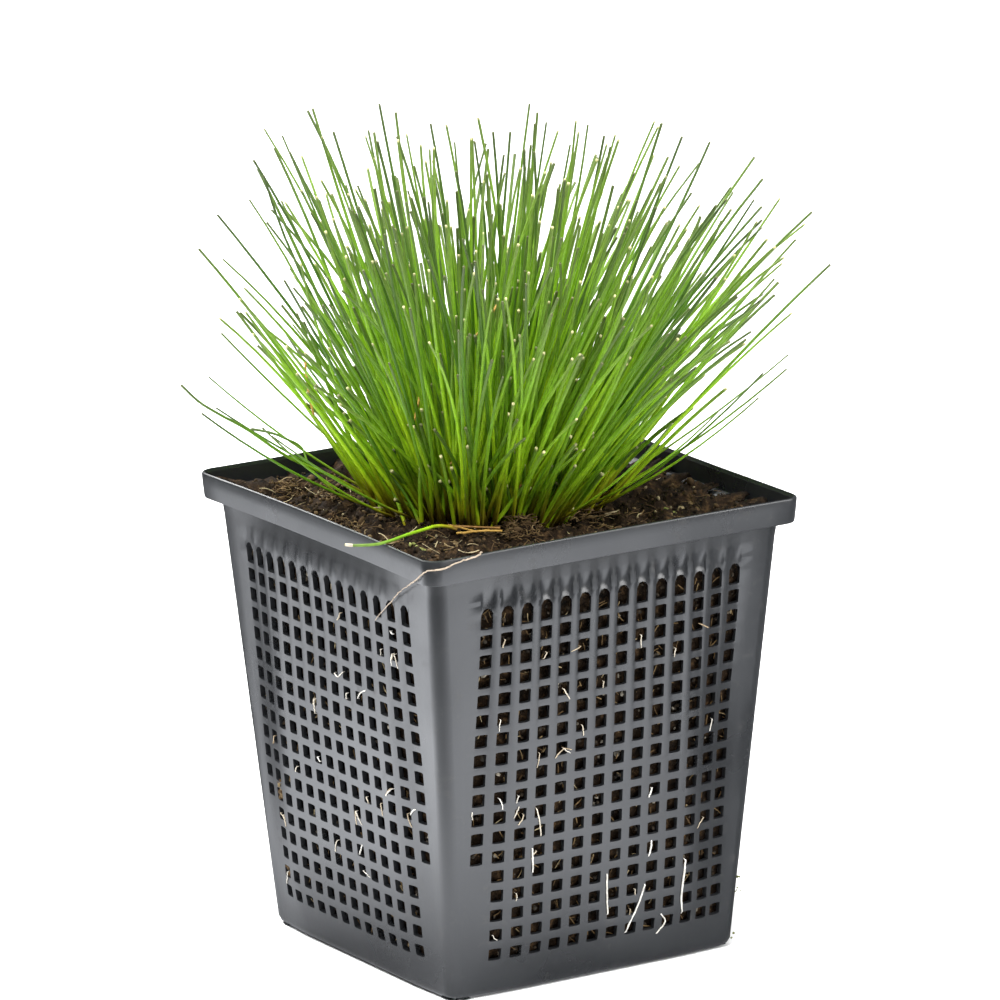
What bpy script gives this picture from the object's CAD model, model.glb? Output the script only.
from math import atan2, cos, pi, radians, sin, sqrt, tan
from random import Random

import bmesh
import bpy
from mathutils import Matrix, Quaternion, Vector, noise


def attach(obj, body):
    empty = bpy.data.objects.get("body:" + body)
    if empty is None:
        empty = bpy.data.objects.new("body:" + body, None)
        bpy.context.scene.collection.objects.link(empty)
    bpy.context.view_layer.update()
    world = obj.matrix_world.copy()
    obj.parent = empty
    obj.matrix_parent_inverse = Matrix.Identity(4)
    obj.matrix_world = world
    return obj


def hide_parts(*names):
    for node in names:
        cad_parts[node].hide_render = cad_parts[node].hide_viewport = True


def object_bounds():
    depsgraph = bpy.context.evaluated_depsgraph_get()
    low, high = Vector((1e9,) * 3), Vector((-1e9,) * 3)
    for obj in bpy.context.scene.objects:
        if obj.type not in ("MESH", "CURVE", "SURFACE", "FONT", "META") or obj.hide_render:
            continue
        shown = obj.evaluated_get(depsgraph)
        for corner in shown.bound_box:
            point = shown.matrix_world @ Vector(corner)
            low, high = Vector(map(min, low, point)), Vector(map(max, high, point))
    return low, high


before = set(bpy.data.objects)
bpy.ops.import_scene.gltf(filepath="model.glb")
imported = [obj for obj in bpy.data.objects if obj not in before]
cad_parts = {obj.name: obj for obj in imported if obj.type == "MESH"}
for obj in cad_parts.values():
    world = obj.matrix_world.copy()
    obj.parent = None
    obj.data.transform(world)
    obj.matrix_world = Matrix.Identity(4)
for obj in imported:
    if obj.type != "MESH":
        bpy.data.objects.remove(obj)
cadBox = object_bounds()
mm = 0.001
print("frame loaded")


# camera
cameraSetup = {
    "azimuth": -32.39,  # degrees round the pot, 0 looks along +Y
    "elevation": 14.73,
    "distance": 2071.8 * mm,
    "roll": -0.741,
    "target": (0.0, 0.0, 96.2 * mm),  # centre of the rim's top
    "targetX": 497.53,  # where the target stands in the 1000 pixel picture
    "targetY": 483.2,
    "focal": 10138.0,  # pixels
}


def makeCamera(s):
    azimuth, elevation = radians(s["azimuth"]), radians(s["elevation"])
    back = Vector((sin(azimuth) * cos(elevation), -cos(azimuth) * cos(elevation), sin(elevation)))
    turn = (-back).to_track_quat("-Z", "Y") @ Quaternion((0, 0, 1), radians(s["roll"]))
    aside = (500 - s["targetX"]) / s["focal"]
    above = (s["targetY"] - 500) / s["focal"]
    aim = turn @ Vector((aside, above, -1))
    turn = aim.to_track_quat("-Z", "Y") @ Quaternion((0, 0, 1), radians(s["roll"]))
    data = bpy.data.cameras.new("camera")
    data.lens = s["focal"] / 1000 * data.sensor_width
    data.clip_start = 0.05
    data.clip_end = 50.0
    camera = bpy.data.objects.new("camera", data)
    bpy.context.scene.collection.objects.link(camera)
    camera.location = Vector(s["target"]) + back * s["distance"]
    camera.rotation_mode = "QUATERNION"
    camera.rotation_quaternion = turn
    bpy.context.scene.camera = camera


makeCamera(cameraSetup)
print("camera made")


# small helpers
def ease(value):
    value = min(1.0, max(0.0, value))
    return value * value * (3 - 2 * value)


def addPiece(bm, name, finish, stands=(), sharp=None):
    mesh = bpy.data.meshes.new(name)
    bm.to_mesh(mesh)
    bm.free()
    mesh.materials.append(finish)
    mesh.shade_smooth()
    if sharp:
        mesh.set_sharp_from_angle(angle=radians(sharp))
    piece = bpy.data.objects.new(name, mesh)
    bpy.context.scene.collection.objects.link(piece)
    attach(piece, "root")
    if stands:
        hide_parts(*stands)
    return piece


def newMaterial(name):
    made = bpy.data.materials.new(name)
    made.use_nodes = True
    tree = made.node_tree
    shader = tree.nodes["Principled BSDF"]
    return made, tree, shader


def addNode(tree, kind, **values):
    node = tree.nodes.new(kind)
    for key, value in values.items():
        if hasattr(node, key):
            setattr(node, key, value)
        else:
            node.inputs[key].default_value = value
    return node


def noiseNode(tree, place, scale, detail=4.0, rough=0.55):
    node = addNode(tree, "ShaderNodeTexNoise")
    node.inputs["Scale"].default_value = scale
    node.inputs["Detail"].default_value = detail
    node.inputs["Roughness"].default_value = rough
    tree.links.new(place, node.inputs["Vector"])
    return node.outputs["Fac"]


def rampNode(tree, value, stops):
    node = addNode(tree, "ShaderNodeValToRGB")
    ramp = node.color_ramp
    while len(ramp.elements) < len(stops):
        ramp.elements.new(0.5)
    for element, (place, colour) in zip(ramp.elements, stops):
        element.position = place
        element.color = (*colour, 1.0) if len(colour) == 3 else colour
    tree.links.new(value, node.inputs["Fac"])
    return node.outputs["Color"]


def mixColour(tree, factor, first, second, blend="MIX"):
    node = addNode(tree, "ShaderNodeMix", data_type="RGBA", blend_type=blend)
    for socket, value in ((node.inputs[0], factor), (node.inputs[6], first), (node.inputs[7], second)):
        if isinstance(value, bpy.types.NodeSocket):
            tree.links.new(value, socket)
        elif isinstance(value, (int, float)):
            socket.default_value = value
        else:
            socket.default_value = (*value, 1.0)
    return node.outputs[2]


def rangeNode(tree, value, low, high, to, toEnd):
    node = addNode(tree, "ShaderNodeMapRange")
    for key, number in (("From Min", low), ("From Max", high), ("To Min", to), ("To Max", toEnd)):
        node.inputs[key].default_value = number
    tree.links.new(value, node.inputs["Value"])
    return node.outputs["Result"]


def mathNode(tree, operation, first, second):
    node = addNode(tree, "ShaderNodeMath", operation=operation)
    for socket, value in zip(node.inputs, (first, second)):
        if isinstance(value, bpy.types.NodeSocket):
            tree.links.new(value, socket)
        else:
            socket.default_value = value
    return node.outputs["Value"]


def bumpNode(tree, height, strength, distance, before=None):
    node = addNode(tree, "ShaderNodeBump")
    node.inputs["Strength"].default_value = strength
    node.inputs["Distance"].default_value = distance
    tree.links.new(height, node.inputs["Height"])
    if before:
        tree.links.new(before, node.inputs["Normal"])
    return node.outputs["Normal"]


def objectPlace(tree):
    return addNode(tree, "ShaderNodeTexCoord").outputs["Object"]


def attributeNode(tree, name):
    return addNode(tree, "ShaderNodeAttribute", attribute_name=name).outputs["Fac"]


# materials
def plasticMaterial():
    made, tree, shader = newMaterial("basketPlastic")
    place = objectPlace(tree)
    blotch = noiseNode(tree, place, 38.0, 3.0)
    grain = noiseNode(tree, place, 900.0, 2.0)
    dust = noiseNode(tree, place, 260.0, 6.0, 0.7)
    colour = rampNode(tree, blotch, ((0.3, (0.011, 0.012, 0.0135)), (0.7, (0.017, 0.0185, 0.0205))))
    dusty = rangeNode(tree, dust, 0.58, 0.75, 0.0, 0.35)
    colour = mixColour(tree, dusty, colour, (0.05, 0.047, 0.043))
    tree.links.new(colour, shader.inputs["Base Color"])
    rough = rangeNode(tree, blotch, 0.3, 0.7, 0.25, 0.34)
    rough = mathNode(tree, "ADD", rough, mathNode(tree, "MULTIPLY", dusty, 0.5))
    tree.links.new(rough, shader.inputs["Roughness"])
    shader.inputs["Specular IOR Level"].default_value = 0.5
    bump = bumpNode(tree, grain, 0.12, 0.0001)
    bump = bumpNode(tree, blotch, 0.25, 0.0006, bump)
    tree.links.new(bump, shader.inputs["Normal"])
    return made


def peatMaterial(name, dark, mid, pale):
    made, tree, shader = newMaterial(name)
    place = objectPlace(tree)
    coarse = noiseNode(tree, place, 420.0, 5.0, 0.65)
    fine = noiseNode(tree, place, 1500.0, 4.0, 0.7)
    colour = rampNode(tree, coarse, ((0.34, dark), (0.55, mid), (0.72, pale)))
    speck = rangeNode(tree, fine, 0.62, 0.72, 0.0, 0.6)
    colour = mixColour(tree, speck, colour, (0.17, 0.12, 0.06))
    tree.links.new(colour, shader.inputs["Base Color"])
    rough = rangeNode(tree, fine, 0.3, 0.7, 0.75, 1.0)
    tree.links.new(rough, shader.inputs["Roughness"])
    shader.inputs["Specular IOR Level"].default_value = 0.1
    bump = bumpNode(tree, fine, 0.8, 0.0004)
    bump = bumpNode(tree, coarse, 0.8, 0.0012, bump)
    tree.links.new(bump, shader.inputs["Normal"])
    return made


def toneMaterial(name, stops, rough, gloss=0.4):
    made, tree, shader = newMaterial(name)
    place = objectPlace(tree)
    tone = attributeNode(tree, "tone")
    colour = rampNode(tree, tone, stops)
    fleck = noiseNode(tree, place, 1100.0, 3.0)
    colour = mixColour(tree, rangeNode(tree, fleck, 0.35, 0.65, 0.0, 0.45), colour, (0.06, 0.04, 0.02))
    tree.links.new(colour, shader.inputs["Base Color"])
    tree.links.new(rangeNode(tree, fleck, 0.3, 0.7, rough, rough + 0.15), shader.inputs["Roughness"])
    shader.inputs["Specular IOR Level"].default_value = gloss
    tree.links.new(bumpNode(tree, fleck, 0.5, 0.0002), shader.inputs["Normal"])
    return made


def grassMaterial():
    made, tree, shader = newMaterial("grassStem")
    place = objectPlace(tree)
    tone = attributeNode(tree, "tone")
    along = attributeNode(tree, "along")
    toTip = attributeNode(tree, "toTip")
    streak = noiseNode(tree, place, 700.0, 3.0)
    deep = rampNode(tree, along, (
        (0.0, (0.22, 0.12, 0.02)), (0.07, (0.24, 0.2, 0.012)), (0.22, (0.07, 0.17, 0.004)),
        (0.6, (0.05, 0.135, 0.005)), (1.0, (0.045, 0.07, 0.02))))
    bright = rampNode(tree, along, (
        (0.0, (0.36, 0.21, 0.03)), (0.08, (0.44, 0.42, 0.012)), (0.25, (0.48, 0.74, 0.016)),
        (0.6, (0.25, 0.49, 0.016)), (1.0, (0.13, 0.2, 0.035))))
    colour = mixColour(tree, tone, deep, bright)
    mottle = rangeNode(tree, streak, 0.3, 0.7, 0.82, 1.12)
    colour = mixColour(tree, 1.0, colour, mottle, "MULTIPLY")
    cut = rangeNode(tree, toTip, 0.1, 0.6, 0.85, 0.0)
    pale = rangeNode(tree, tone, 0.45, 0.8, 0.0, 1.0)
    colour = mixColour(tree, cut, colour, mixColour(tree, pale, (0.08, 0.09, 0.03), (0.6, 0.55, 0.28)))
    tree.links.new(colour, shader.inputs["Base Color"])
    tree.links.new(rangeNode(tree, streak, 0.3, 0.7, 0.42, 0.56), shader.inputs["Roughness"])
    shader.inputs["Specular IOR Level"].default_value = 0.28
    tree.links.new(bumpNode(tree, streak, 0.3, 0.0001), shader.inputs["Normal"])
    return made


plastic = plasticMaterial()
peat = peatMaterial("peatDark", (0.0025, 0.0018, 0.0012), (0.02, 0.0118, 0.006), (0.085, 0.05, 0.023))
crumb = toneMaterial("peatCrumb", (
    (0.0, (0.004, 0.003, 0.002)), (0.45, (0.02, 0.0125, 0.0065)), (0.8, (0.075, 0.046, 0.022)),
    (0.95, (0.15, 0.105, 0.05)), (1.0, (0.34, 0.29, 0.17))), 0.85, 0.12)
sideCrumb = toneMaterial("sideCrumb", (
    (0.0, (0.006, 0.0054, 0.0048)), (0.45, (0.028, 0.025, 0.021)), (0.8, (0.09, 0.08, 0.063)),
    (1.0, (0.4, 0.37, 0.3))), 0.85, 0.12)
fibre = toneMaterial("peatFibre", (
    (0.0, (0.016, 0.009, 0.0045)), (0.5, (0.075, 0.044, 0.019)), (0.85, (0.21, 0.14, 0.06)),
    (1.0, (0.5, 0.42, 0.25))), 0.8, 0.15)
grassGreen = grassMaterial()
rootTan = toneMaterial("rootTan", (
    (0.0, (0.26, 0.19, 0.13)), (1.0, (0.5, 0.42, 0.33))), 0.6)
rootPale = toneMaterial("rootPale", (
    (0.0, (0.35, 0.26, 0.15)), (0.5, (0.55, 0.49, 0.38)), (1.0, (0.74, 0.73, 0.68))), 0.55)
strawDry = toneMaterial("strawDry", (
    (0.0, (0.16, 0.05, 0.012)), (0.5, (0.50, 0.29, 0.05)), (1.0, (0.66, 0.46, 0.12))), 0.6)
mossGreen = toneMaterial("mossGreen", (
    (0.0, (0.06, 0.07, 0.02)), (0.6, (0.2, 0.24, 0.05)), (1.0, (0.42, 0.45, 0.14))), 0.85)
print("materials made")


# basket
basket = {
    "height": 96.2, "rimHalf": 45.0, "rimHeight": 5.4, "rimFlare": 0.34, "rimStep": 2.7,
    "baseHalf": 34.4, "cornerTop": 3.4, "cornerBase": 2.7, "cornerCuts": 5,
    "wall": 1.15,
    "columns": 14, "columnPitch": 4.59, "rows": 18, "rowPitch": 4.21, "secondRow": 76.5,
    "holeWidth": 2.7, "holeHeight": 2.5, "holeGrow": 0.45, "topHoleLow": 79.1, "topHoleHigh": 83.6,
    "arch": 1.15, "cornerCut": 0.13,
    "shortColumns": ((0,), (0, 13), (0, 13), (0, 13)), "shortColumnRows": 13,  # by wall
    "relief": (1.0, 1.0, 1.0, 0.35),  # how deep each wall's grooves are
    "grooveTop": 0.12, "grooveLow": 0.05, "barRound": 0.05, "ribRound": 0.04, "grooveDraft": 0.25,
    "scoopDepth": (0.68, 0.6, 0.6, 0.13), "rampEnd": 87.8,
    "scoopShape": ((0.0, 0.42), (0.07, 0.66), (0.15, 0.85), (0.24, 0.96), (0.36, 1.0), (0.5, 0.9),
                   (0.68, 0.6), (0.84, 0.28), (1.0, 0.0)),
    "scoopAcross": {"middle": 1.0, "q1": 0.9, "q3": 0.9, "left": 0.6, "right": 0.6},
    "swell": ((1.7, 1.0), (0.8, 0.8), (0.8, 0.8), (1.6, 0.7)),  # how far the walls bulge, low and high
    "bow": (0.5, 0.3, 0.3, 1.0),  # how far each side's rim bends in at its middle
    "drains": 8, "drainPitch": 6.75, "drainSide": 3.7,
}


def wallHalf(z):
    top = basket["rimHalf"] - basket["rimFlare"] - basket["rimStep"]
    return basket["baseHalf"] + (top - basket["baseHalf"]) * z / (basket["height"] - basket["rimHeight"])


def rowHole(row):  # row 0 is the tall one at the top
    if row == 0:
        return basket["topHoleLow"], basket["topHoleHigh"]
    middle = basket["secondRow"] - basket["rowPitch"] * (row - 1)
    half = (basket["holeHeight"] + basket["holeGrow"] * middle / basket["secondRow"]) / 2
    return middle - half, middle + half


barLines = [(rowHole(row + 1)[1] + rowHole(row)[0]) / 2 for row in range(basket["rows"] - 1)]


def wallSwell(wallIndex, across, z):
    # the walls bulge between their corners, and the rim bends in
    low, high = basket["swell"][wallIndex]
    amount = (low + (high - low) * ease((z - 50) / 28)) * (0.35 + 0.65 * ease(z / 12))
    plateau = ease((33.5 - abs(across)) / 14) * (1 - ease((z - 83) / 8))
    bowed = basket["bow"][wallIndex] * max(0.0, 1 - (across / 41) ** 2) * ease((z - 84) / 9)
    return amount * plateau - bowed


def columnShift(wallIndex, across, z):
    # the columns of the two front walls aren't quite evenly spaced
    top = ease((z - 45) / 35)
    arc = 1 - (across / 31) ** 2
    if wallIndex == 0:
        return 0.75 * top + (0.5 * arc - ease((across - 22) / 8)) * (1 - top)
    return -(0.5 + 0.5 * top) * arc if wallIndex == 3 else 0.0


def wallLines():
    # what each grid line of one wall is: ("edge", side), ("margin", side), ("groove", column, place)
    lines = [("edge", -1.0), ("margin", -0.5)]
    for column in range(basket["columns"]):
        for place in ("rib", "left", "q1", "middle", "q3", "right", "rib2"):
            lines.append(("groove", column, place))
        if column < basket["columns"] - 1:
            lines.append(("crest", column, ""))
    lines += [("margin", 0.5), ("edge", 1.0)]
    lines += [("corner", step, "") for step in range(1, basket["cornerCuts"] + 1)]
    return lines


def rowLines():
    # (height, half width or None for the tapered wall)
    base, rim = basket["baseHalf"], basket["rimHalf"]
    low = basket["height"] - basket["rimHeight"]
    under = rim - basket["rimFlare"]
    rows = [(0.0, base - 6.0), (0.0, base - 1.9), (0.18, base - 1.0), (0.75, base - 0.25)]
    rows += [(1.7, None), (5.0, None)]
    first = rowHole(basket["rows"] - 1)[0]
    rows += [(first - 1.4, None), (first - 0.7, None)]
    for row in range(basket["rows"] - 1, -1, -1):
        bottom, top = rowHole(row)
        if row < basket["rows"] - 1:
            rows.append(((rowHole(row + 1)[1] + bottom) / 2, None))
        rows.append((bottom, None))
        if row == 0:
            rows += [(bottom + 1.7, None), (bottom + 3.1, None)]
        rows.append((top, None))
    end = basket["rampEnd"]
    start = basket["topHoleHigh"]
    rows += [(start + (end - start) * share, None) for share, _ in basket["scoopShape"][1:]]
    rows += [(low - 0.12, wallHalf(low) + 0.12), (low, wallHalf(low) + 0.5), (low, under - 0.35)]
    rows += [(low + 0.12, under - 0.08), (low + 0.5, under), (low + 2.6, under + 0.18)]
    top = basket["height"]
    rows += [(top - 0.45, rim), (top - 0.12, rim - 0.1), (top, rim - 0.4)]
    return rows


def grooveDepth(wallIndex, column, place, z):
    # how deep the groove of a column lies behind the ribs' fronts
    if z > basket["topHoleHigh"] - 0.01:
        share = (z - basket["topHoleHigh"]) / (basket["rampEnd"] - basket["topHoleHigh"])
        scoop = 0.0
        for (low, first), (high, second) in zip(basket["scoopShape"], basket["scoopShape"][1:]):
            if low <= share + 0.001 and share <= high:
                scoop = first + (second - first) * (share - low) / (high - low)
        middling = 1.0 if 3 <= column <= 11 else 0.6
        return basket["scoopDepth"][wallIndex] * scoop * middling * basket["scoopAcross"].get(place, 0.1)
    relief = basket["relief"][wallIndex]
    short = column in basket["shortColumns"][wallIndex]
    bottom = rowHole(basket["shortColumnRows"] - 1 if short else basket["rows"] - 1)[0]
    fade = ease((z - bottom + 1.4) / 1.4)
    if place in ("rib", "rib2"):
        return basket["ribRound"] * fade * relief
    depth = basket["grooveLow"] + (basket["grooveTop"] - basket["grooveLow"]) * ease((z - 35) / 48)
    if any(abs(z - line) < 0.05 for line in barLines):
        depth -= basket["barRound"]
    return depth * fade * relief


def grooveAcross(column, place, wallIndex, z):
    middle = (column - (basket["columns"] - 1) / 2) * basket["columnPitch"]
    middle += columnShift(wallIndex, middle, z)
    half = basket["holeWidth"] / 2
    offset = {
        "rib": -half - basket["grooveDraft"], "left": -half, "q1": -half * 0.55, "middle": 0.0,
        "q3": half * 0.55, "right": half, "rib2": half + basket["grooveDraft"],
    }[place]
    return middle + offset


def holeRounding(place, z):
    # moves a hole's corners in: the tall holes have round tops, the others clipped corners
    atSide = place in ("left", "right")
    if abs(z - basket["topHoleHigh"]) < 0.01:
        return -basket["arch"] * (1.0 if atSide else 0.2 if place in ("q1", "q3") else 0.0)
    for row in range(basket["rows"]):
        bottom, top = rowHole(row)
        if atSide and abs(z - bottom) < 0.01:
            return basket["cornerCut"]
        if atSide and abs(z - top) < 0.01:
            return -basket["cornerCut"]
    return 0.0


def basketPoint(line, wallIndex, z, half):
    cornerShare = z / basket["height"]
    radius = basket["cornerBase"] + (basket["cornerTop"] - basket["cornerBase"]) * cornerShare
    tapered = half is None
    out = wallHalf(z) if tapered else half
    radius = min(radius, out * 0.1)
    flat = out - radius
    depth = 0.0
    if line[0] == "edge":
        across = flat * line[1]
    elif line[0] == "margin":
        first = grooveAcross(0, "rib", wallIndex, z)
        last = grooveAcross(basket["columns"] - 1, "rib2", wallIndex, z)
        across = (-flat + first) / 2 if line[1] < 0 else (flat + last) / 2
    elif line[0] == "crest":
        left = grooveAcross(line[1], "middle", wallIndex, z)
        across = (left + grooveAcross(line[1] + 1, "middle", wallIndex, z)) / 2
    elif line[0] == "groove":
        across = grooveAcross(line[1], line[2], wallIndex, z)
        if tapered:
            depth = grooveDepth(wallIndex, line[1], line[2], z)
    else:
        angle = radians(-90 + 90 * line[1] / (basket["cornerCuts"] + 1))
        point = Vector((flat + radius * cos(angle), -flat + radius * sin(angle), z))
        return Matrix.Rotation(wallIndex * pi / 2, 3, "Z") @ point
    if half is not None and half < basket["baseHalf"] - 2:
        across *= half / basket["baseHalf"]
    swell = wallSwell(wallIndex, across, z)
    wave = 0.16 * noise.noise(Vector((across * 0.045, z * 0.05, wallIndex * 7.3)))
    point = Vector((across, -(out - depth + swell + wave * ease(z / 8)), z))
    if tapered and line[0] == "groove":
        point.z += holeRounding(line[2], z)
    return Matrix.Rotation(wallIndex * pi / 2, 3, "Z") @ point


def makeBasket():
    lines, rows = wallLines(), rowLines()
    perWall = len(lines)
    columnCount = perWall * 4
    bm = bmesh.new()
    bmesh.ops.create_grid(bm, x_segments=columnCount, y_segments=len(rows) - 1, size=1.0)
    bm.verts.ensure_lookup_table()
    holes = []
    holeRows = {}
    for row in range(basket["rows"]):
        bottom, top = rowHole(row)
        for index, (z, half) in enumerate(rows[:-1]):
            if half is None and bottom - 0.01 <= z < top - 0.01:
                holeRows[index] = row
    for face in bm.faces:
        column = min(vertex.index % (columnCount + 1) for vertex in face.verts)
        rowIndex = min(vertex.index // (columnCount + 1) for vertex in face.verts)
        line = lines[column % perWall]
        if line[0] == "groove" and line[2] in ("left", "q1", "middle", "q3") and rowIndex in holeRows:
            short = line[1] in basket["shortColumns"][column // perWall]
            if not (short and holeRows[rowIndex] >= basket["shortColumnRows"]):
                holes.append(face)
    for vertex in bm.verts:
        column = vertex.index % (columnCount + 1) % columnCount
        z, half = rows[vertex.index // (columnCount + 1)]
        vertex.co = basketPoint(lines[column % perWall], column // perWall, z, half) * mm
    bmesh.ops.delete(bm, geom=holes, context="FACES")
    bmesh.ops.remove_doubles(bm, verts=bm.verts, dist=0.00001)
    bmesh.ops.recalc_face_normals(bm, faces=bm.faces)
    upright = max(bm.faces, key=lambda face: face.calc_center_median().x)
    if upright.normal.x < 0:
        bmesh.ops.reverse_faces(bm, faces=bm.faces)
    thicken(bm, basket["wall"] * mm)
    for vertex in bm.verts:
        vertex.co.z = max(0.0, vertex.co.z)
    addBasketFloor(bm)
    return addPiece(bm, "basketShell", plastic, ("basket",), 34)


def thicken(bm, thickness):
    # the open surface becomes a closed wall, with its other side inwards
    bm.normal_update()
    outer = set(bm.verts)
    bmesh.ops.extrude_face_region(bm, geom=bm.faces[:], use_keep_orig=True)
    for vertex in bm.verts:
        if vertex not in outer:
            vertex.co -= vertex.normal * thickness
    bmesh.ops.recalc_face_normals(bm, faces=bm.faces)


def addBasketFloor(bm):
    # a plate with drain holes inside the turned-in lip of the walls
    half = basket["baseHalf"] - 5.9
    count = basket["drains"]
    marks = [-half]
    for index in range(count):
        middle = (index - (count - 1) / 2) * basket["drainPitch"]
        marks += [middle - basket["drainSide"] / 2, middle + basket["drainSide"] / 2]
    marks.append(half)
    segments = len(marks) - 1
    plate = bmesh.new()
    bmesh.ops.create_grid(plate, x_segments=segments, y_segments=segments, size=1.0)
    plate.verts.ensure_lookup_table()
    holes = []
    for face in plate.faces:
        column = min(vertex.index % (segments + 1) for vertex in face.verts)
        row = min(vertex.index // (segments + 1) for vertex in face.verts)
        if column % 2 == 1 and row % 2 == 1:
            holes.append(face)
    for vertex in plate.verts:
        across = marks[vertex.index % (segments + 1)]
        vertex.co = Vector((across, marks[vertex.index // (segments + 1)], 0.0)) * mm
    bmesh.ops.delete(plate, geom=holes, context="FACES")
    plate.normal_update()
    if plate.faces[:][0].normal.z > 0:
        bmesh.ops.reverse_faces(plate, faces=plate.faces)
    thicken(plate, basket["wall"] * mm)
    mesh = bpy.data.meshes.new("basketFloor")
    plate.to_mesh(mesh)
    plate.free()
    bm.from_mesh(mesh)
    bpy.data.meshes.remove(mesh)


basketShell = makeBasket()
print("basket made", len(basketShell.data.polygons))


# peat
peatBed = {
    "level": 91.2, "cuts": 99, "lump": 2.4, "lumpSize": 8.0, "fine": 2.0, "fineSize": 3.0,
    "calmRadius": 24.0, "gap": 0.15, "corner": 3.2, "sideRough": 0.9,
    "wallDrop": (-1.4, -1.5), "dropFrom": (-14.0, 24.0),  # the peat rises a little towards the walls
    "lipLevel": 92.15, "lipHalf": 43.1,  # where it is higher than the rim's step it spreads over it
    "tuftCentre": (-0.6, 2.8), "crownRadius": 20.0,
    "clods": ((-8.5, -22.5, 5.0, 2.4), (6.2, -19.5, 4.5, 1.8), (-29.0, -29.0, 5.0, 1.5),
              (14.0, -27.0, 5.0, 1.4), (24.0, -20.0, 6.0, 1.5)),
}


def peatHeight(x, y):
    s = peatBed
    fromTuft = sqrt((x - s["tuftCentre"][0]) ** 2 + (y - s["tuftCentre"][1]) ** 2)
    outside = ease((fromTuft - s["calmRadius"]) / 6)
    lump = noise.noise(Vector((x, y, 0)) / s["lumpSize"]) * s["lump"]
    lump += noise.noise(Vector((x, y, 50)) / (s["lumpSize"] / 2)) * s["lump"] / 2
    fine = noise.noise(Vector((x, y, 9)) / s["fineSize"]) * s["fine"]
    fine += noise.noise(Vector((x, y, 19)) / (s["fineSize"] * 0.4)) * s["fine"] * 0.55
    rise = 0.0
    for clodX, clodY, clodRadius, clodRise in s["clods"]:
        distance = sqrt((x - clodX) ** 2 + (y - clodY) ** 2)
        rise += clodRise * (1 - ease(distance / clodRadius))
    toWall = max(abs(x), abs(y)) / wallHalf(s["level"])
    side = ease((x - s["dropFrom"][0]) / (s["dropFrom"][1] - s["dropFrom"][0]))
    drop = (s["wallDrop"][0] + (s["wallDrop"][1] - s["wallDrop"][0]) * side) * ease((toWall - 0.7) / 0.3)
    nearCrown = ease((fromTuft - s["crownRadius"]) / 3)
    return s["level"] + outside * (lump - drop) + nearCrown * (rise + fine)


def sideHalf(z):
    return wallHalf(z) - basket["wall"] - basket["grooveTop"] * ease((z - 35) / 48) - peatBed["gap"]


def makePeat():
    s = peatBed
    bm = bmesh.new()
    bmesh.ops.create_cube(bm, size=2.0)
    bmesh.ops.subdivide_edges(bm, edges=bm.edges[:], cuts=s["cuts"], use_grid_fill=True)
    low = basket["wall"] + 0.5
    for vertex in bm.verts:
        x, y, z = vertex.co
        share = (z + 1) / 2
        height = low + (s["level"] - low) * share
        half = sideHalf(min(height, 86))
        px, py = x * half, y * half
        flat = half - s["corner"]
        if abs(px) > flat and abs(py) > flat:
            cornerX, cornerY = (flat if px > 0 else -flat), (flat if py > 0 else -flat)
            armX, armY = px - cornerX, py - cornerY
            squeeze = min(1.0, s["corner"] / sqrt(armX * armX + armY * armY))
            px, py = cornerX + armX * squeeze, cornerY + armY * squeeze
        if share > 0.999:
            height = peatHeight(px, py)
        else:
            height += (peatHeight(px, py) - s["level"]) * ease((share - 0.85) / 0.15)
        if share > 0.999:
            # spreads over the rim's step where the peat lies higher than it
            spill = ease((height - s["lipLevel"]) / 0.5) * ease((max(abs(x), abs(y)) - 0.9) / 0.1)
            stretch = 1 + spill * (s["lipHalf"] / half - 1)
            px, py = px * stretch, py * stretch
        elif 0.001 < share:
            crumbly = noise.noise(Vector((px, py, height)) / 2.6) + 0.7 * noise.noise(
                Vector((px + 31, py, height)) / 1.2)
            inward = s["sideRough"] * (0.35 + 0.6 * crumbly) * (1 - ease((share - 0.97) / 0.03))
            if abs(x) > 0.999:
                outward = wallSwell(1 if px > 0 else 3, py, height) if height < 84 else 0.0
                px += (outward - inward) * (1 if px > 0 else -1)
            if abs(y) > 0.999:
                outward = wallSwell(2 if py > 0 else 0, px, height) if height < 84 else 0.0
                py += (outward - inward) * (1 if py > 0 else -1)
        vertex.co = Vector((px, py, height)) * mm
    bmesh.ops.recalc_face_normals(bm, faces=bm.faces)
    return addPiece(bm, "peatBed", peat, ("soil",))


peatPiece = makePeat()
print("peat made", len(peatPiece.data.polygons))


# many small things, joined
def tubeProto(sides, rings):
    bm = bmesh.new()
    bmesh.ops.create_circle(bm, cap_ends=False, radius=1.0, segments=sides)
    outline = bm.edges[:]
    for ring in range(1, rings):
        raised = bmesh.ops.extrude_edge_only(bm, edges=outline)["geom"]
        outline = [item for item in raised if isinstance(item, bmesh.types.BMEdge)]
        for vertex in {vertex for edge in outline for vertex in edge.verts}:
            vertex.co.z = ring
    bmesh.ops.holes_fill(bm, edges=bm.edges, sides=0)
    bmesh.ops.recalc_face_normals(bm, faces=bm.faces)
    mesh = bpy.data.meshes.new("tubeProto")
    bm.to_mesh(mesh)
    bm.free()
    return mesh


def lumpProto():
    bm = bmesh.new()
    bmesh.ops.create_icosphere(bm, subdivisions=1, radius=1.0)
    mesh = bpy.data.meshes.new("lumpProto")
    bm.to_mesh(mesh)
    bm.free()
    return mesh


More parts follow.
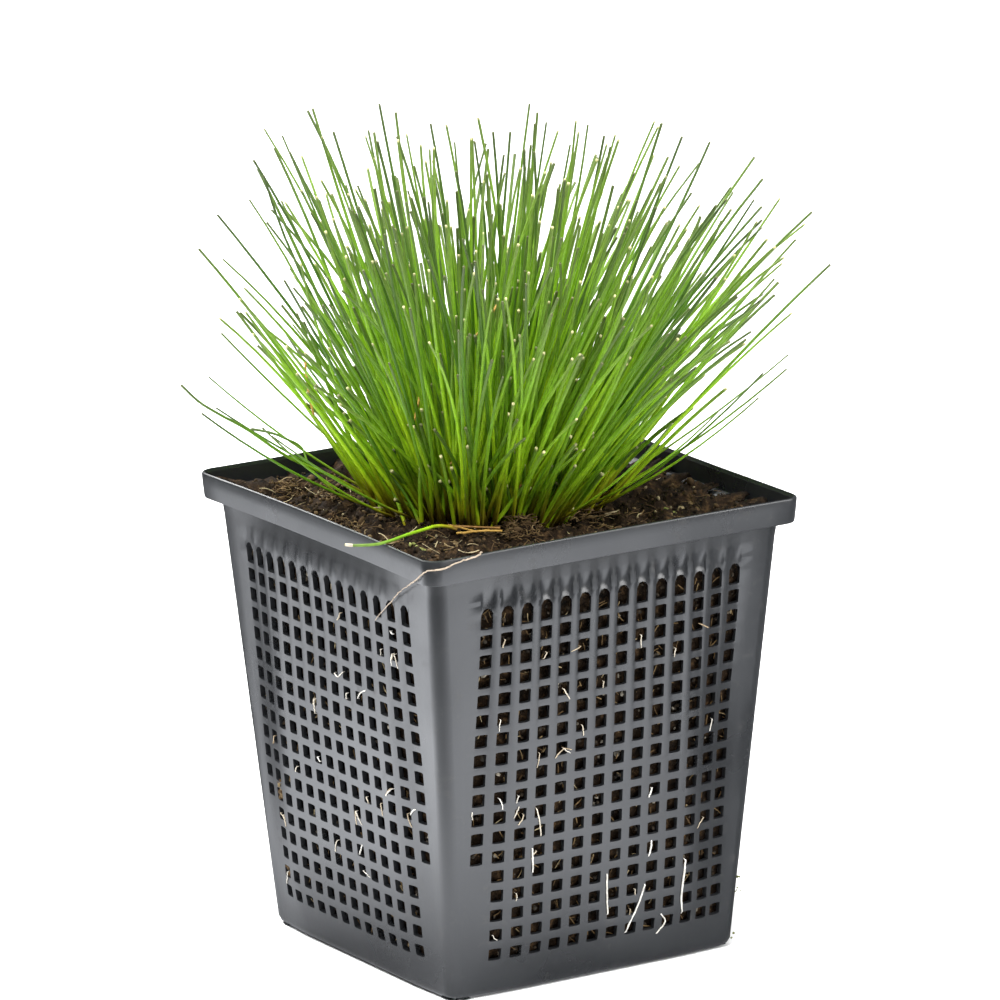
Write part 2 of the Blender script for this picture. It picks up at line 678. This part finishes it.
class Gather:
    # one mesh that many tubes or lumps are added to, with their tone as an attribute
    def __init__(self, proto):
        self.proto = proto
        self.bm = bmesh.new()
        self.tone = self.bm.verts.layers.float.new("tone")
        self.along = self.bm.verts.layers.float.new("along")
        self.toTip = self.bm.verts.layers.float.new("toTip")

    def fresh(self):
        start = len(self.bm.verts)
        self.bm.from_mesh(self.proto)
        self.bm.verts.ensure_lookup_table()
        return self.bm.verts[start:]

    def tube(self, path, radii, tone):
        # path holds one point for each ring of the proto, in millimetres
        lengths = [0.0]
        for first, second in zip(path, path[1:]):
            lengths.append(lengths[-1] + (second - first).length)
        axis = (path[-1] - path[0]).normalized()
        side = axis.orthogonal().normalized()
        other = axis.cross(side)
        last = len(path) - 1
        frames = []
        for ring in range(last + 1):
            way = (path[min(ring + 1, last)] - path[max(ring - 1, 0)]).normalized()
            ringSide = (side - way * side.dot(way)).normalized()
            frames.append((ringSide, way.cross(ringSide)))
        for vertex in self.fresh():
            ring = round(vertex.co.z)
            ringSide, ringOther = frames[ring]
            offset = ringSide * vertex.co.x + ringOther * vertex.co.y
            vertex.co = (path[ring] + offset * radii[ring]) * mm
            vertex[self.tone] = tone
            vertex[self.along] = lengths[ring] / lengths[-1]
            vertex[self.toTip] = lengths[-1] - lengths[ring]
        return other

    def lump(self, centre, size, rng, tone):
        turn = Quaternion((rng.gauss(0, 1), rng.gauss(0, 1), rng.gauss(0, 1), rng.gauss(0, 1))).normalized()
        stretch = size * Vector((rng.uniform(0.7, 1.3), rng.uniform(0.6, 1.0), rng.uniform(0.5, 1.0)))
        for vertex in self.fresh():
            bump = 1 + rng.uniform(-0.25, 0.25)
            local = Vector((vertex.co.x * stretch.x, vertex.co.y * stretch.y, vertex.co.z * stretch.z))
            vertex.co = (centre + turn @ (local * bump)) * mm
            vertex[self.tone] = tone

    def finish(self, name, finish, slotName, stands=()):
        return addPiece(self.bm, name, finish, stands)


def bezier(start, middle, end, shares):
    return [start * (1 - t) ** 2 + middle * 2 * t * (1 - t) + end * t * t for t in shares]


def smoothRoute(knots, count):
    # count points, evenly spread by parameter, on a smooth curve through the knots
    places = [Vector(knot) for knot in knots]
    ends = [2 * places[0] - places[1], *places, 2 * places[-1] - places[-2]]
    route = []
    for index in range(count):
        whole = index / (count - 1) * (len(places) - 1)
        span = min(int(whole), len(places) - 2)
        t = whole - span
        before, start, end, after = ends[span:span + 4]
        bend = (2 * before - 5 * start + 4 * end - after) * t * t
        twist = (3 * start - 3 * end + after - before) * t ** 3
        route.append((2 * start + (end - before) * t + bend + twist) / 2)
    return route


# grass
grass = {
    "centre": (-0.6, 2.8), "fanDepth": 24.4, "crownRadius": 24.0,
    "spread": 42.0,  # degrees from upright at the tuft's side
    "tilt": (0.045, -0.03),  # the whole fan leans this much to one side
    "reach": 108.5, "reachLoss": (22.0, 9.0), "shoulder": 30.0,  # shorter past the shoulder
    "topHeight": 103.0,  # the tips' highest level above the fan point
    "stems": 900, "bunches": 64, "sides": 6,
    "baseRadius": (0.38, 0.50), "tipRadius": (0.19, 0.30), "frontStems": 95,
    "aside": 4.2,  # how far a tip strays to either side
    "inside": 0.6,  # how far every tip keeps from the sides of the solids' box
    "seed": 7,
}
ringShares = [0.0, 0.12, 0.25, 0.38, 0.52, 0.66, 0.79, 0.9, 0.996, 1.0]


def grassReach(lean, around):
    # stems that lean to the left as the camera sees them end sooner than those to the right
    s = grass
    share = max(0.0, (lean * 180 / pi - s["shoulder"]) / (s["spread"] - s["shoulder"]))
    rightwards = (1 + cos(around - radians(cameraSetup["azimuth"]))) / 2
    loss = s["reachLoss"][0] + (s["reachLoss"][1] - s["reachLoss"][0]) * rightwards
    return min(s["reach"], s["topHeight"] / cos(lean)) - loss * share ** 1.5


def grassStem(gather, rng, lean, around, fraction, tone):
    s = grass
    fan = Vector((*s["centre"], peatBed["level"] - s["fanDepth"]))
    way = Vector((sin(lean) * cos(around), sin(lean) * sin(around), cos(lean)))
    way = (way + Vector((*s["tilt"], 0))).normalized()
    radius = s["fanDepth"] * tan(lean) * rng.uniform(0.75, 1.2)
    foot = Vector((*s["centre"], 0)) + Vector((cos(around), sin(around), 0)) * radius
    foot += Vector((rng.gauss(0, 2.8), rng.gauss(0, 2.8), 0))
    out = foot - Vector((*s["centre"], 0))
    if out.length > s["crownRadius"] - 1:
        foot -= out.normalized() * (out.length - s["crownRadius"] + 1 + rng.random())
    foot.z = peatHeight(foot.x, foot.y) - 0.6
    tip = fan + way * grassReach(lean, around) * fraction
    aside = max(-8.0, min(8.0, rng.gauss(0, s["aside"]))) * fraction
    tip += Vector((-sin(around), cos(around), 0)) * aside
    for axis in range(3):  # no tip passes the solids' box
        lowest, highest = cadBox[0][axis] / mm + s["inside"], cadBox[1][axis] / mm - s["inside"]
        tip[axis] = min(max(tip[axis], lowest), highest)
    chord = tip - foot
    upright = Vector((0, 0, chord.length * 0.10 * lean / radians(s["spread"])))
    sway = Vector((rng.gauss(0, 1), rng.gauss(0, 1), 0)) * chord.length * 0.04
    path = bezier(foot, foot + chord * 0.5 + upright + sway, tip, ringShares)
    thick, thin = rng.uniform(*s["baseRadius"]), rng.uniform(*s["tipRadius"])
    radii = [thick + (thin - thick) * (t * min(1.0, fraction)) ** 1.2 for t in ringShares]
    gather.tube(path, radii, tone)


def makeGrass():
    s = grass
    rng = Random(s["seed"])
    gather = Gather(tubeProto(s["sides"], len(ringShares)))
    golden = pi * (3 - sqrt(5))
    bunches = []
    for index in range(s["bunches"]):
        lean = s["spread"] * ((index + 0.5) / s["bunches"]) ** 0.66 + rng.gauss(0, 2)
        bunches.append((radians(lean), index * golden + rng.gauss(0, 0.1), rng.random()))
    toCamera = radians(cameraSetup["azimuth"] - 90)
    for index in range(s["stems"]):
        lean, around, tone = bunches[index % s["bunches"]]
        spot = Vector((lean * cos(around), lean * sin(around), 0))
        loose = 3.5 if rng.random() < 0.5 else 9.0
        spot += Vector((rng.gauss(0, 1), rng.gauss(0, 1), 0)) * radians(loose)
        stemLean = spot.length
        if stemLean > radians(s["spread"]):
            stemLean = radians(s["spread"]) * rng.uniform(0.72, 1.03)
        stemAround = atan2(spot.y, spot.x)
        facing = cos(stemAround - toCamera) * sin(stemLean)
        kind = rng.random() - 0.35 * facing
        if kind < 0.24:
            fraction = (1.03 if facing > -0.15 else 0.97) - abs(rng.gauss(0, 0.07))
        elif kind < 0.58:
            fraction = rng.uniform(0.66, 0.92)
        else:
            fraction = rng.uniform(0.38, 0.72)
        stemTone = 0.15 * tone + 0.9 * rng.random() + 0.4 * (0.75 - fraction)
        grassStem(gather, rng, stemLean, stemAround, fraction, min(1.0, max(0.0, stemTone)))
    for _ in range(s["frontStems"]):
        around = toCamera + rng.gauss(0, 0.75)
        lean, fraction = radians(rng.uniform(6, 38)), rng.uniform(0.34, 0.56)
        grassStem(gather, rng, lean, around, fraction, rng.uniform(0.75, 1.0))
    return gather.finish("grassTuft", grassGreen, "grass", ("grass_tuft",))


grassPiece = makeGrass()
print("grass made", len(grassPiece.data.polygons))


# single outer stems, the fallen stem, straws and the root over the rim
outerStems = {
    "count": 20, "start": -88.0, "sweep": 292.0, "tilt": (57.0, 66.0), "length": (36.0, 46.0),
    "foot": 23.0, "rise": 0.16, "radius": 0.45, "thin": 0.29, "seed": 11,
}
looseRoutes = {
    "fallen": ((-20.3, -16.3, 93.2), (-22.3, -16.2, 94.0), (-26.0, -17.6, 95.0), (-32.0, -20.8, 95.6),
               (-37.9, -24.9, 96.5), (-42.8, -27.1, 96.6), (-46.7, -27.7, 96.6), (-50.2, -26.1, 96.6),
               (-51.7, -24.3, 96.6)),
    "strawLong": ((-22.4, -19.6, 93.3), (-18.5, -22.6, 93.9), (-14.3, -24.0, 93.6)),
    "strawShort": ((-20.7, -14.0, 93.6), (-20.9, -17.2, 94.0), (-19.6, -21.8, 93.9)),
    "root": ((-29.5, -39.0, 93.6), (-31.0, -42.4, 95.2), (-32.2, -44.4, 96.42), (-33.4, -45.3, 96.2),
             (-35.4, -45.45, 95.9), (-37.2, -45.45, 95.7), (-39.4, -45.45, 95.3), (-41.3, -45.5, 94.8),
             (-43.4, -45.4, 94.7), (-44.9, -44.6, 94.6), (-45.5, -43.4, 93.8), (-45.5, -41.7, 92.5),
             (-45.3, -38.8, 90.8), (-43.9, -35.0, 89.1), (-42.9, -31.4, 87.4), (-42.5, -28.6, 85.6),
             (-42.3, -26.4, 83.8), (-42.1, -23.2, 81.4), (-42.0, -20.4, 79.1), (-41.9, -19.5, 78.3)),
}


def makeOuterStems():
    s = outerStems
    rng = Random(s["seed"])
    shade = Random(3)
    gather = Gather(tubeProto(8, 10))
    centre = Vector((*peatBed["tuftCentre"], 0))
    for index in range(s["count"]):
        around = radians(s["start"] + s["sweep"] * (index + 0.5 * rng.random()) / s["count"])
        tilt = radians(rng.uniform(*s["tilt"]))
        length = rng.uniform(*s["length"])
        out = Vector((cos(around), sin(around), 0))
        foot = centre + out * s["foot"]
        foot.z = peatHeight(foot.x, foot.y) + 0.5 + s["radius"] * sin(tilt)
        path = []
        for share in ringShares:
            run = length * share
            lift = run * cos(tilt) + s["rise"] * length * share * share
            path.append(foot + out * run * sin(tilt) + Vector((0, 0, lift)))
        end = shade.uniform(0.55, 0.8)
        radii = [s["thin"] * (1 - (1 - end) * share) for share in ringShares]
        aside = Vector((-out.y, out.x, 0)) * shade.gauss(0, 2.2)
        droop = shade.uniform(-3.5, 1.5)
        bends = [aside * t * t + Vector((0, 0, droop * t * (1 - t))) for t in ringShares]
        path = [point + bent for point, bent in zip(path, bends)]
        gather.tube(path, radii, shade.uniform(0.0, 0.45))
    names = ["outer_stem_%02d" % (index + 1) for index in range(s["count"])]
    return gather.finish("outerStems", grassGreen, "grass", names)


def crinkled(path, amount, seed):
    # bends a smooth path a little, as dry and thin things are bent
    bent = []
    for index, point in enumerate(path):
        share = Vector((index * 0.37, seed, 0))
        sway = noise.noise(share * 1.7 + Vector((0, 5, 0)))
        lift = noise.noise(share + Vector((0, 9, 0)))
        bent.append(point + amount * Vector((noise.noise(share), sway, lift)))
    return bent


def makeLoose(name, route, rings, radius, finish, slotName, node, ends=(1.0, 1.0), wander=0.0, bend=0.0):
    gather = Gather(tubeProto(10, rings))
    path = crinkled(smoothRoute(looseRoutes[route], rings), bend, len(name))
    radii = []
    for index in range(rings):
        share = index / (rings - 1)
        swell = 1 + wander * noise.noise(Vector((share * 9, len(name), 0)))
        radii.append(radius * swell * (ends[0] + (ends[1] - ends[0]) * share))
    gather.tube(path, radii, 0.5)
    return gather.finish(name, finish, slotName, (node,))


def makeFallenTip():
    # the dry, pale end of the fallen stem
    gather = Gather(tubeProto(10, 10))
    path = smoothRoute(looseRoutes["fallen"], 90)[-10:]
    gather.tube(path, (0.27, 0.32, 0.34, 0.35, 0.35, 0.34, 0.34, 0.33, 0.31, 0.25), 0.45)
    gather.finish("fallenTip", rootPale, "grass")


makeOuterStems()
makeLoose("fallenStem", "fallen", 40, 0.36, grassGreen, "grass", "fallen_stem", (1.0, 0.8))
makeFallenTip()
makeLoose("strawLong", "strawLong", 24, 0.27, strawDry, "dry_straw", "straw_long", (1.0, 0.8), 0.3, 0.12)
makeLoose("strawShort", "strawShort", 24, 0.25, strawDry, "dry_straw", "straw_short", (1.0, 0.7), 0.3, 0.12)
makeLoose("surfaceRoot", "root", 140, 0.18, rootTan, "root", "surface_root", (1.1, 0.5), 0.5, 0.14)
print("loose stems made")


# arching stems, dead straws in the tuft and roots that come through the walls
arches = (  # knots in millimetres, radius at the foot and the tip
    (((-28.5, 14.0, 97.8), (-35.3, 15.8, 101.6), (-41.0, 16.8, 105.0), (-48.8, 17.5, 111.1),
      (-54.9, 17.7, 115.0), (-59.7, 18.2, 118.4), (-63.2, 19.2, 122.2)), 0.36, 0.26),
    (((-31.2, 21.4, 99.0), (-31.5, 24.9, 103.1), (-33.7, 26.9, 104.8), (-36.4, 29.0, 106.2),
      (-39.7, 31.3, 107.0)), 0.2, 0.3),
)
archFeet = ((-20.5, 11.5, 92.0), (-26.0, 17.0, 92.5))
tuftStraws = (  # (start, end) in millimetres
    ((-2.4, -4.4, 134.9), (-7.9, -3.1, 127.9)), ((-5.2, -6.4, 123.0), (-7.2, -6.7, 117.9)),
    ((-8.6, -8.7, 108.7), (-16.8, -5.4, 102.5)), ((-5.7, -14.0, 97.4), (-2.3, -15.2, 100.5)),
    ((-36.9, 14.1, 124.2), (-37.0, 10.9, 113.8)), ((8.5, -11.1, 135.7), (4.7, -12.3, 124.0)),
    ((-18.2, 0.2, 117.5), (-20.7, -0.4, 110.6)), ((-20.6, -16.2, 93.9), (-14.0, -22.8, 93.9)),
)
wallRoots = (  # wall, (across, height) knots, radius, tone
    (0, ((1.0, 22.5), (1.2, 17.0), (1.6, 13.0)), 0.18, 0.9),
    (0, ((20.1, 22.0), (20.0, 19.5), (19.5, 14.0), (19.9, 10.0)), 0.21, 1.0),
    (0, ((10.5, 18.5), (8.9, 14.0), (6.0, 8.0)), 0.18, 1.0),
    (0, ((14.6, 11.0), (15.8, 9.0), (13.8, 6.5)), 0.16, 0.9),
    (0, ((11.6, 27.5), (11.5, 26.0), (11.0, 24.0)), 0.18, 1.0),
    (0, ((-17.4, 31.0), (-17.2, 28.5), (-17.1, 25.5)), 0.18, 1.0),
    (0, ((-16.7, 39.5), (-15.8, 36.0), (-15.4, 33.0)), 0.15, 0.6),
    (0, ((11.2, 39.0), (10.9, 38.0), (10.4, 37.0)), 0.17, 1.0),
    (0, ((-20.9, 40.5), (-21.3, 39.5), (-22.0, 38.0)), 0.13, 0.7),
    (0, ((-31.1, 40.5), (-31.2, 40.0), (-31.0, 39.0)), 0.14, 0.8),
    (3, ((27.9, 40.0), (27.1, 39.5), (26.3, 38.5)), 0.15, 1.0),
    (3, ((7.3, 27.5), (6.8, 26.5), (5.8, 25.0)), 0.16, 1.0),
    (3, ((13.5, 62.0), (11.6, 61.0), (10.3, 59.5)), 0.15, 0.9),
    (3, ((1.6, 63.0), (3.1, 62.5), (5.1, 64.0)), 0.13, 0.8),
    (3, ((24.3, 77.0), (24.6, 76.8), (25.0, 76.5)), 0.15, 1.0),
)
smallRoots = {"perWall": 24, "length": (1.2, 3.4), "radius": (0.09, 0.14), "seed": 31}


def makeArches():
    gather = Gather(tubeProto(8, 24))
    for (knots, thick, thin), foot in zip(arches, archFeet):
        path = smoothRoute((foot, *knots), 24)
        gather.tube(path, [thick + (thin - thick) * index / 23 for index in range(24)], 0.15)
    gather.finish("archedStems", grassGreen, "grass")
    rng = Random(5)
    gather = Gather(tubeProto(6, 9))
    for start, end in tuftStraws:
        first, last = Vector(start), Vector(end)
        way = (last - first).normalized()
        path = curlPath(first, way, (last - first).length, rng.uniform(0.02, 0.1), rng, 9)
        gather.tube(path, [0.24] * 9, rng.uniform(0.1, 0.7))
    gather.finish("tuftStraws", strawDry, "dry_straw")


def makeWallRoots():
    s = smallRoots
    rng = Random(s["seed"])
    roots = list(wallRoots)
    for wallIndex in range(4):
        for _ in range(s["perWall"]):
            column, row = rng.randrange(1, basket["columns"] - 1), rng.randrange(1, basket["rows"] - 1)
            z = sum(rowHole(row)) / 2
            across = (column - (basket["columns"] - 1) / 2) * basket["columnPitch"]
            across += columnShift(wallIndex, across, z) + rng.uniform(-0.8, 0.8)
            angle = rng.gauss(pi / 2, 0.6)
            length = rng.uniform(*s["length"])
            end = (across + cos(angle) * length, z - sin(angle) * length)
            middle = ((across + end[0]) / 2 + rng.uniform(-0.3, 0.3), (z + end[1]) / 2)
            roots.append((wallIndex, ((across, z), middle, end), rng.uniform(*s["radius"]), rng.random()))
    gather = Gather(tubeProto(8, 20))
    for index, (wallIndex, knots, radius, tone) in enumerate(roots):
        turn = Matrix.Rotation(wallIndex * pi / 2, 3, "Z")
        flat = []
        for across, z in knots:
            flat.append((across, -(wallHalf(z) + wallSwell(wallIndex, across, z) + radius * 0.7), z))
        path = [turn @ point for point in crinkled(smoothRoute(flat, 20), 0.1, index)]
        path[0] = path[0] - (turn @ Vector((0, -0.7, 0)))
        path[-1] = path[-1] - (turn @ Vector((0, -0.5, 0)))
        radii = [radius * (1 - 0.35 * abs(step / 19 - 0.4)) for step in range(20)]
        radii[0], radii[-1] = radius * 0.5, radius * 0.35
        gather.tube(path, radii, tone)
    gather.finish("wallRoots", rootPale, "root")


# crumbs and fibres on and in the peat
litter = {
    "topCrumbs": 3000, "topFibres": 1700, "sideCrumbs": 1100, "sideFibres": 420,
    "crumbSize": (0.16, 0.6), "fibreLength": (1.8, 7.0), "fibreRadius": (0.05, 0.13), "seed": 21,
    "patchSize": 7.0,  # fibres gather in patches of about this width
    "tufts": ((-8.5, -22.5, 3.4, 150), (6.2, -19.5, 2.8, 60), (-30.2, 32.0, 3.0, 60), (-26.1, 19.2, 2.6, 50),
              (-21.4, 30.6, 2.6, 50), (-33.6, 5.1, 3.2, 60), (8.0, -23.0, 1.8, 16)),  # x, y, radius, count
    "moss": ((-33.1, -22.0, 1.7, 26, 0.85), (16.3, -22.5, 1.3, 16, 0.5), (24.7, -26.5, 1.3, 16, 0.4),
             (-26.0, -13.7, 0.5, 3, 1.0), (-13.2, -26.6, 0.5, 3, 1.0)),  # x, y, radius, count, tone
    "edgeMoss": ((14.4, 5), (11.8, 4), (1.8, 4)),  # height on the right corner, count
    "wallClods": ((-25.2, 31.5, 2.3, 16), (-25.0, 14.0, 1.6, 8)),  # across, height, radius, count
}


def peatTopSpot(rng):
    while True:
        half = sideHalf(86) - 1.2
        x, y = rng.uniform(-half, half), rng.uniform(-half, half)
        if (Vector((x, y)) - Vector(peatBed["tuftCentre"])).length > 17:
            return Vector((x, y, peatHeight(x, y)))


def curlPath(start, way, length, bend, rng, points=5):
    side = way.orthogonal().normalized()
    side.rotate(Quaternion(way, rng.uniform(0, 2 * pi)))
    middle = start + way * length * 0.5 + side * length * bend
    return bezier(start, middle, start + way * length, [index / (points - 1) for index in range(points)])


def makeLitter():
    s = litter
    rng = Random(s["seed"])
    crumbs = Gather(lumpProto())
    for _ in range(s["topCrumbs"]):
        spot = peatTopSpot(rng)
        size = rng.uniform(*s["crumbSize"]) * (2.0 if rng.random() < 0.06 else 1.0)
        crumbs.lump(spot + Vector((0, 0, size * 0.25)), size, rng, rng.random() ** 1.6)
    fibres = Gather(tubeProto(5, 5))
    for _ in range(s["topFibres"]):
        spot = peatTopSpot(rng)
        patch = noise.noise(Vector((spot.x, spot.y, 3)) / s["patchSize"])
        if rng.random() > 0.35 + 1.6 * patch:
            continue
        angle = rng.uniform(0, 2 * pi)
        way = Vector((cos(angle), sin(angle), rng.uniform(-0.15, 0.4))).normalized()
        length = rng.uniform(*s["fibreLength"]) * rng.uniform(0.5, 1.0)
        end = spot + way * length
        if max(abs(end.x), abs(end.y)) > sideHalf(86) - 0.5:
            continue
        spot.z += 0.25
        radius = rng.uniform(*s["fibreRadius"])
        path = curlPath(spot, way, length, rng.uniform(0.05, 0.35), rng)
        fibreTone = min(1.0, rng.random() ** 1.3 + max(0.0, patch) * 0.5)
        fibres.tube(path, [radius * rng.uniform(0.7, 1.1) for _ in path], fibreTone)
    for x, y, radius, count in s["tufts"]:
        for _ in range(count):
            angle, away = rng.uniform(0, 2 * pi), radius * sqrt(rng.random())
            spot = Vector((x + away * cos(angle), y + away * sin(angle), 0))
            spot.z = peatHeight(spot.x, spot.y) + rng.uniform(0.1, 0.8)
            turned = rng.uniform(0, 2 * pi)
            way = Vector((cos(turned), sin(turned), rng.uniform(-0.3, 0.5))).normalized()
            path = curlPath(spot, way, rng.uniform(1.2, 3.4), rng.uniform(0.2, 0.6), rng)
            fibres.tube(path, [rng.uniform(0.06, 0.14)] * 5, rng.uniform(0.35, 0.9))
    sideBits = Gather(lumpProto())
    for wallIndex in range(4):
        turn = Matrix.Rotation(wallIndex * pi / 2, 3, "Z")
        for _ in range(s["sideCrumbs"]):
            z = rng.uniform(6, 84)
            half = sideHalf(z)
            across = rng.uniform(-1, 1) * (half - 3)
            out = half + wallSwell(wallIndex, across, z) - rng.uniform(0.0, 0.7)
            sideTone = rng.uniform(0.75, 1.0) if rng.random() < 0.13 else 0.6 * rng.random()
            sideBits.lump(turn @ Vector((across, -out, z)), rng.uniform(0.25, 0.75), rng, sideTone)
        for _ in range(s["sideFibres"]):
            z = rng.uniform(8, 84)
            half = sideHalf(z)
            across = rng.uniform(-1, 1) * (half - 5)
            spot = turn @ Vector((across, -(half + wallSwell(wallIndex, across, z) + 0.2), z))
            angle = rng.gauss(pi / 2, 0.8)
            way = turn @ Vector((cos(angle), -0.08, sin(angle))).normalized()
            length = rng.uniform(0.9, 3.2)
            radius = rng.uniform(0.06, 0.14)
            path = curlPath(spot - way * length / 2, way, length, rng.uniform(0.05, 0.2), rng)
            fibres.tube(path, [radius for _ in path], 0.5 + 0.5 * rng.random())
    turn = Matrix.Rotation(3 * pi / 2, 3, "Z")
    for middle, height, radius, count in s["wallClods"]:
        for _ in range(count):
            across, z = middle + rng.gauss(0, 0.6), height + rng.uniform(-1, 1) * radius
            out = wallHalf(z) + wallSwell(3, across, z) - 0.5
            spot = turn @ Vector((across, -out, z))
            crumbs.lump(spot, rng.uniform(0.4, 0.85), rng, rng.uniform(0.6, 0.97))
    crumbs.finish("peatCrumbs", crumb, "peat")
    sideBits.finish("sideCrumbs", sideCrumb, "peat")
    fibres.finish("peatFibres", fibre, "peat")
    moss = Gather(lumpProto())
    for x, y, radius, count, tone in s["moss"]:
        for _ in range(count):
            angle, away = rng.uniform(0, 2 * pi), radius * sqrt(rng.random())
            spot = Vector((x + away * cos(angle), y + away * sin(angle), 0))
            spot.z = peatHeight(spot.x, spot.y) + 0.35
            moss.lump(spot, rng.uniform(0.2, 0.5), rng, min(1.0, max(0.0, tone + rng.uniform(-0.2, 0.15))))
    for z, count in s["edgeMoss"]:
        corner = wallHalf(z) - basket["cornerBase"] + 0.15
        for _ in range(count):
            spot = Vector((corner + 2.35, -corner - 1.5, z)) + Vector([rng.gauss(0, 0.35) for _ in range(3)])
            moss.lump(spot, rng.uniform(0.18, 0.34), rng, rng.uniform(0.1, 0.6))
    moss.finish("mossBits", mossGreen, "grass")


makeLitter()
makeArches()
makeWallRoots()
print("litter, arches and roots made")


# light and floor
studio = {
    "floorRight": (-1500.0, 1500.0), "floorDepth": (-1200.0, 2800.0),  # seen from the camera, millimetres
    "floorColour": (0.86, 0.86, 0.86),
    "room": 0.2,
    "reflection": {  # ranges in millimetres, with the light at each range's ends
        "half": 900.0, "glow": 3.0, "colour": (0.965, 0.99, 1.04), "frontSlant": 0.35, "sideSlant": 0.466,
        "contact": (38.0, 102.0, 0.1, 1.0), "front": (-215.0, -85.0, 0.02, 1.0),
        "left": (-400.0, -330.0, 0.2, 1.0), "right": (-16.0, 20.0, 1.5, 0.12),
        "leftTurn": (-55.0, -18.0, 1.07, 0.78), "leftSide": (-70.0, -35.0, 1.0, 0.0),
    },
    "softboxes": {  # place: right, depth, height as the camera sees them; millimetres and watts
        "key": ((-650.0, 620.0, 900.0), (850.0, 850.0), 34.0),
        "side": ((850.0, -330.0, 520.0), (480.0, 700.0), 11.0),
        "top": ((0.0, -150.0, 1300.0), (1000.0, 1000.0), 16.0),
        "front": ((-250.0, -800.0, 1300.0), (800.0, 800.0), 30.0),
    },
}


def fromCamera(right, depth, z=0.0):
    azimuth = radians(cameraSetup["azimuth"])
    across = Vector((cos(azimuth), sin(azimuth), 0))
    ahead = Vector((-sin(azimuth), cos(azimuth), 0))
    return (across * right + ahead * depth + Vector((0, 0, z))) * mm


def makeSoftbox(name, place, sides, power):
    data = bpy.data.lights.new(name, "AREA")
    data.shape = "RECTANGLE"
    data.size, data.size_y = sides[0] * mm, sides[1] * mm
    data.energy = power
    light = bpy.data.objects.new(name, data)
    bpy.context.scene.collection.objects.link(light)
    light.location = fromCamera(*place)
    light.rotation_mode = "QUATERNION"
    aim = Vector((0, 0, 0.08)) - light.location
    light.rotation_quaternion = aim.to_track_quat("-Z", "Y")
    light.visible_camera = False


def makeReflection(s):
    # what the glossy plastic mirrors instead of the floor: bright paper that ends in front of the pot
    bm = bmesh.new()
    bmesh.ops.create_grid(bm, x_segments=1, y_segments=1, size=s["half"] * mm)
    bmesh.ops.translate(bm, vec=(0, 0, -0.05 * mm), verts=bm.verts)
    mesh = bpy.data.meshes.new("reflection")
    bm.to_mesh(mesh)
    bm.free()
    made, tree, shader = newMaterial("reflectionGlow")
    place = addNode(tree, "ShaderNodeSeparateXYZ")
    tree.links.new(objectPlace(tree), place.inputs[0])
    right, depth = place.outputs[0], place.outputs[1]
    radius = mathNode(tree, "SQRT", mathNode(tree, "ADD", mathNode(tree, "MULTIPLY", right, right),
                                             mathNode(tree, "MULTIPLY", depth, depth)), 0.0)
    front = mathNode(tree, "ADD", depth, mathNode(tree, "MULTIPLY", right, s["frontSlant"]))
    glow = s["glow"]
    slant = mathNode(tree, "ADD", depth, mathNode(tree, "MULTIPLY", right, s["sideSlant"]))
    for value, (low, high, lowLight, highLight) in (
            (radius, s["contact"]), (front, s["front"]), (right, s["left"]), (slant, s["right"])):
        share = rangeNode(tree, value, low * mm, high * mm, lowLight, highLight)
        glow = mathNode(tree, "MULTIPLY", share, glow)
    turned, beside = s["leftTurn"], s["leftSide"]
    turned = rangeNode(tree, slant, turned[0] * mm, turned[1] * mm, turned[2] - 1, turned[3] - 1)
    beside = rangeNode(tree, right, beside[0] * mm, beside[1] * mm, beside[2], beside[3])
    change = mathNode(tree, "ADD", mathNode(tree, "MULTIPLY", turned, beside), 1.0)
    glow = mathNode(tree, "MULTIPLY", glow, change)
    shader.inputs["Base Color"].default_value = (0, 0, 0, 1)
    shader.inputs["Specular IOR Level"].default_value = 0.0
    shader.inputs["Emission Color"].default_value = (*s["colour"], 1)
    tree.links.new(glow, shader.inputs["Emission Strength"])
    mesh.materials.append(made)
    card = bpy.data.objects.new("reflection", mesh)
    bpy.context.scene.collection.objects.link(card)
    card.rotation_euler.z = radians(cameraSetup["azimuth"])
    card.visible_camera = False
    card.visible_diffuse = False
    card.visible_shadow = False


def makeStudio(s):
    bm = bmesh.new()
    bmesh.ops.create_grid(bm, x_segments=1, y_segments=1, size=1.0)
    for vertex in bm.verts:
        right = s["floorRight"][0 if vertex.co.x < 0 else 1]
        depth = s["floorDepth"][0 if vertex.co.y < 0 else 1]
        vertex.co = fromCamera(right, depth, -0.1)
    mesh = bpy.data.meshes.new("floor")
    bm.to_mesh(mesh)
    bm.free()
    made, tree, shader = newMaterial("floorPaper")
    shader.inputs["Base Color"].default_value = (*s["floorColour"], 1.0)
    shader.inputs["Roughness"].default_value = 0.95
    shader.inputs["Specular IOR Level"].default_value = 0.1
    mesh.materials.append(made)
    floor = bpy.data.objects.new("floor", mesh)
    bpy.context.scene.collection.objects.link(floor)
    floor.visible_glossy = False
    makeReflection(s["reflection"])
    for name, (place, sides, power) in s["softboxes"].items():
        makeSoftbox(name, place, sides, power)
    world = bpy.data.worlds.new("studio")
    bpy.context.scene.world = world
    world.use_nodes = True
    background = world.node_tree.nodes["Background"]
    background.inputs["Color"].default_value = (1, 1, 1, 1)
    background.inputs["Strength"].default_value = s["room"]
    bpy.context.scene.view_settings.view_transform = "Standard"


makeStudio(studio)
print("studio made")
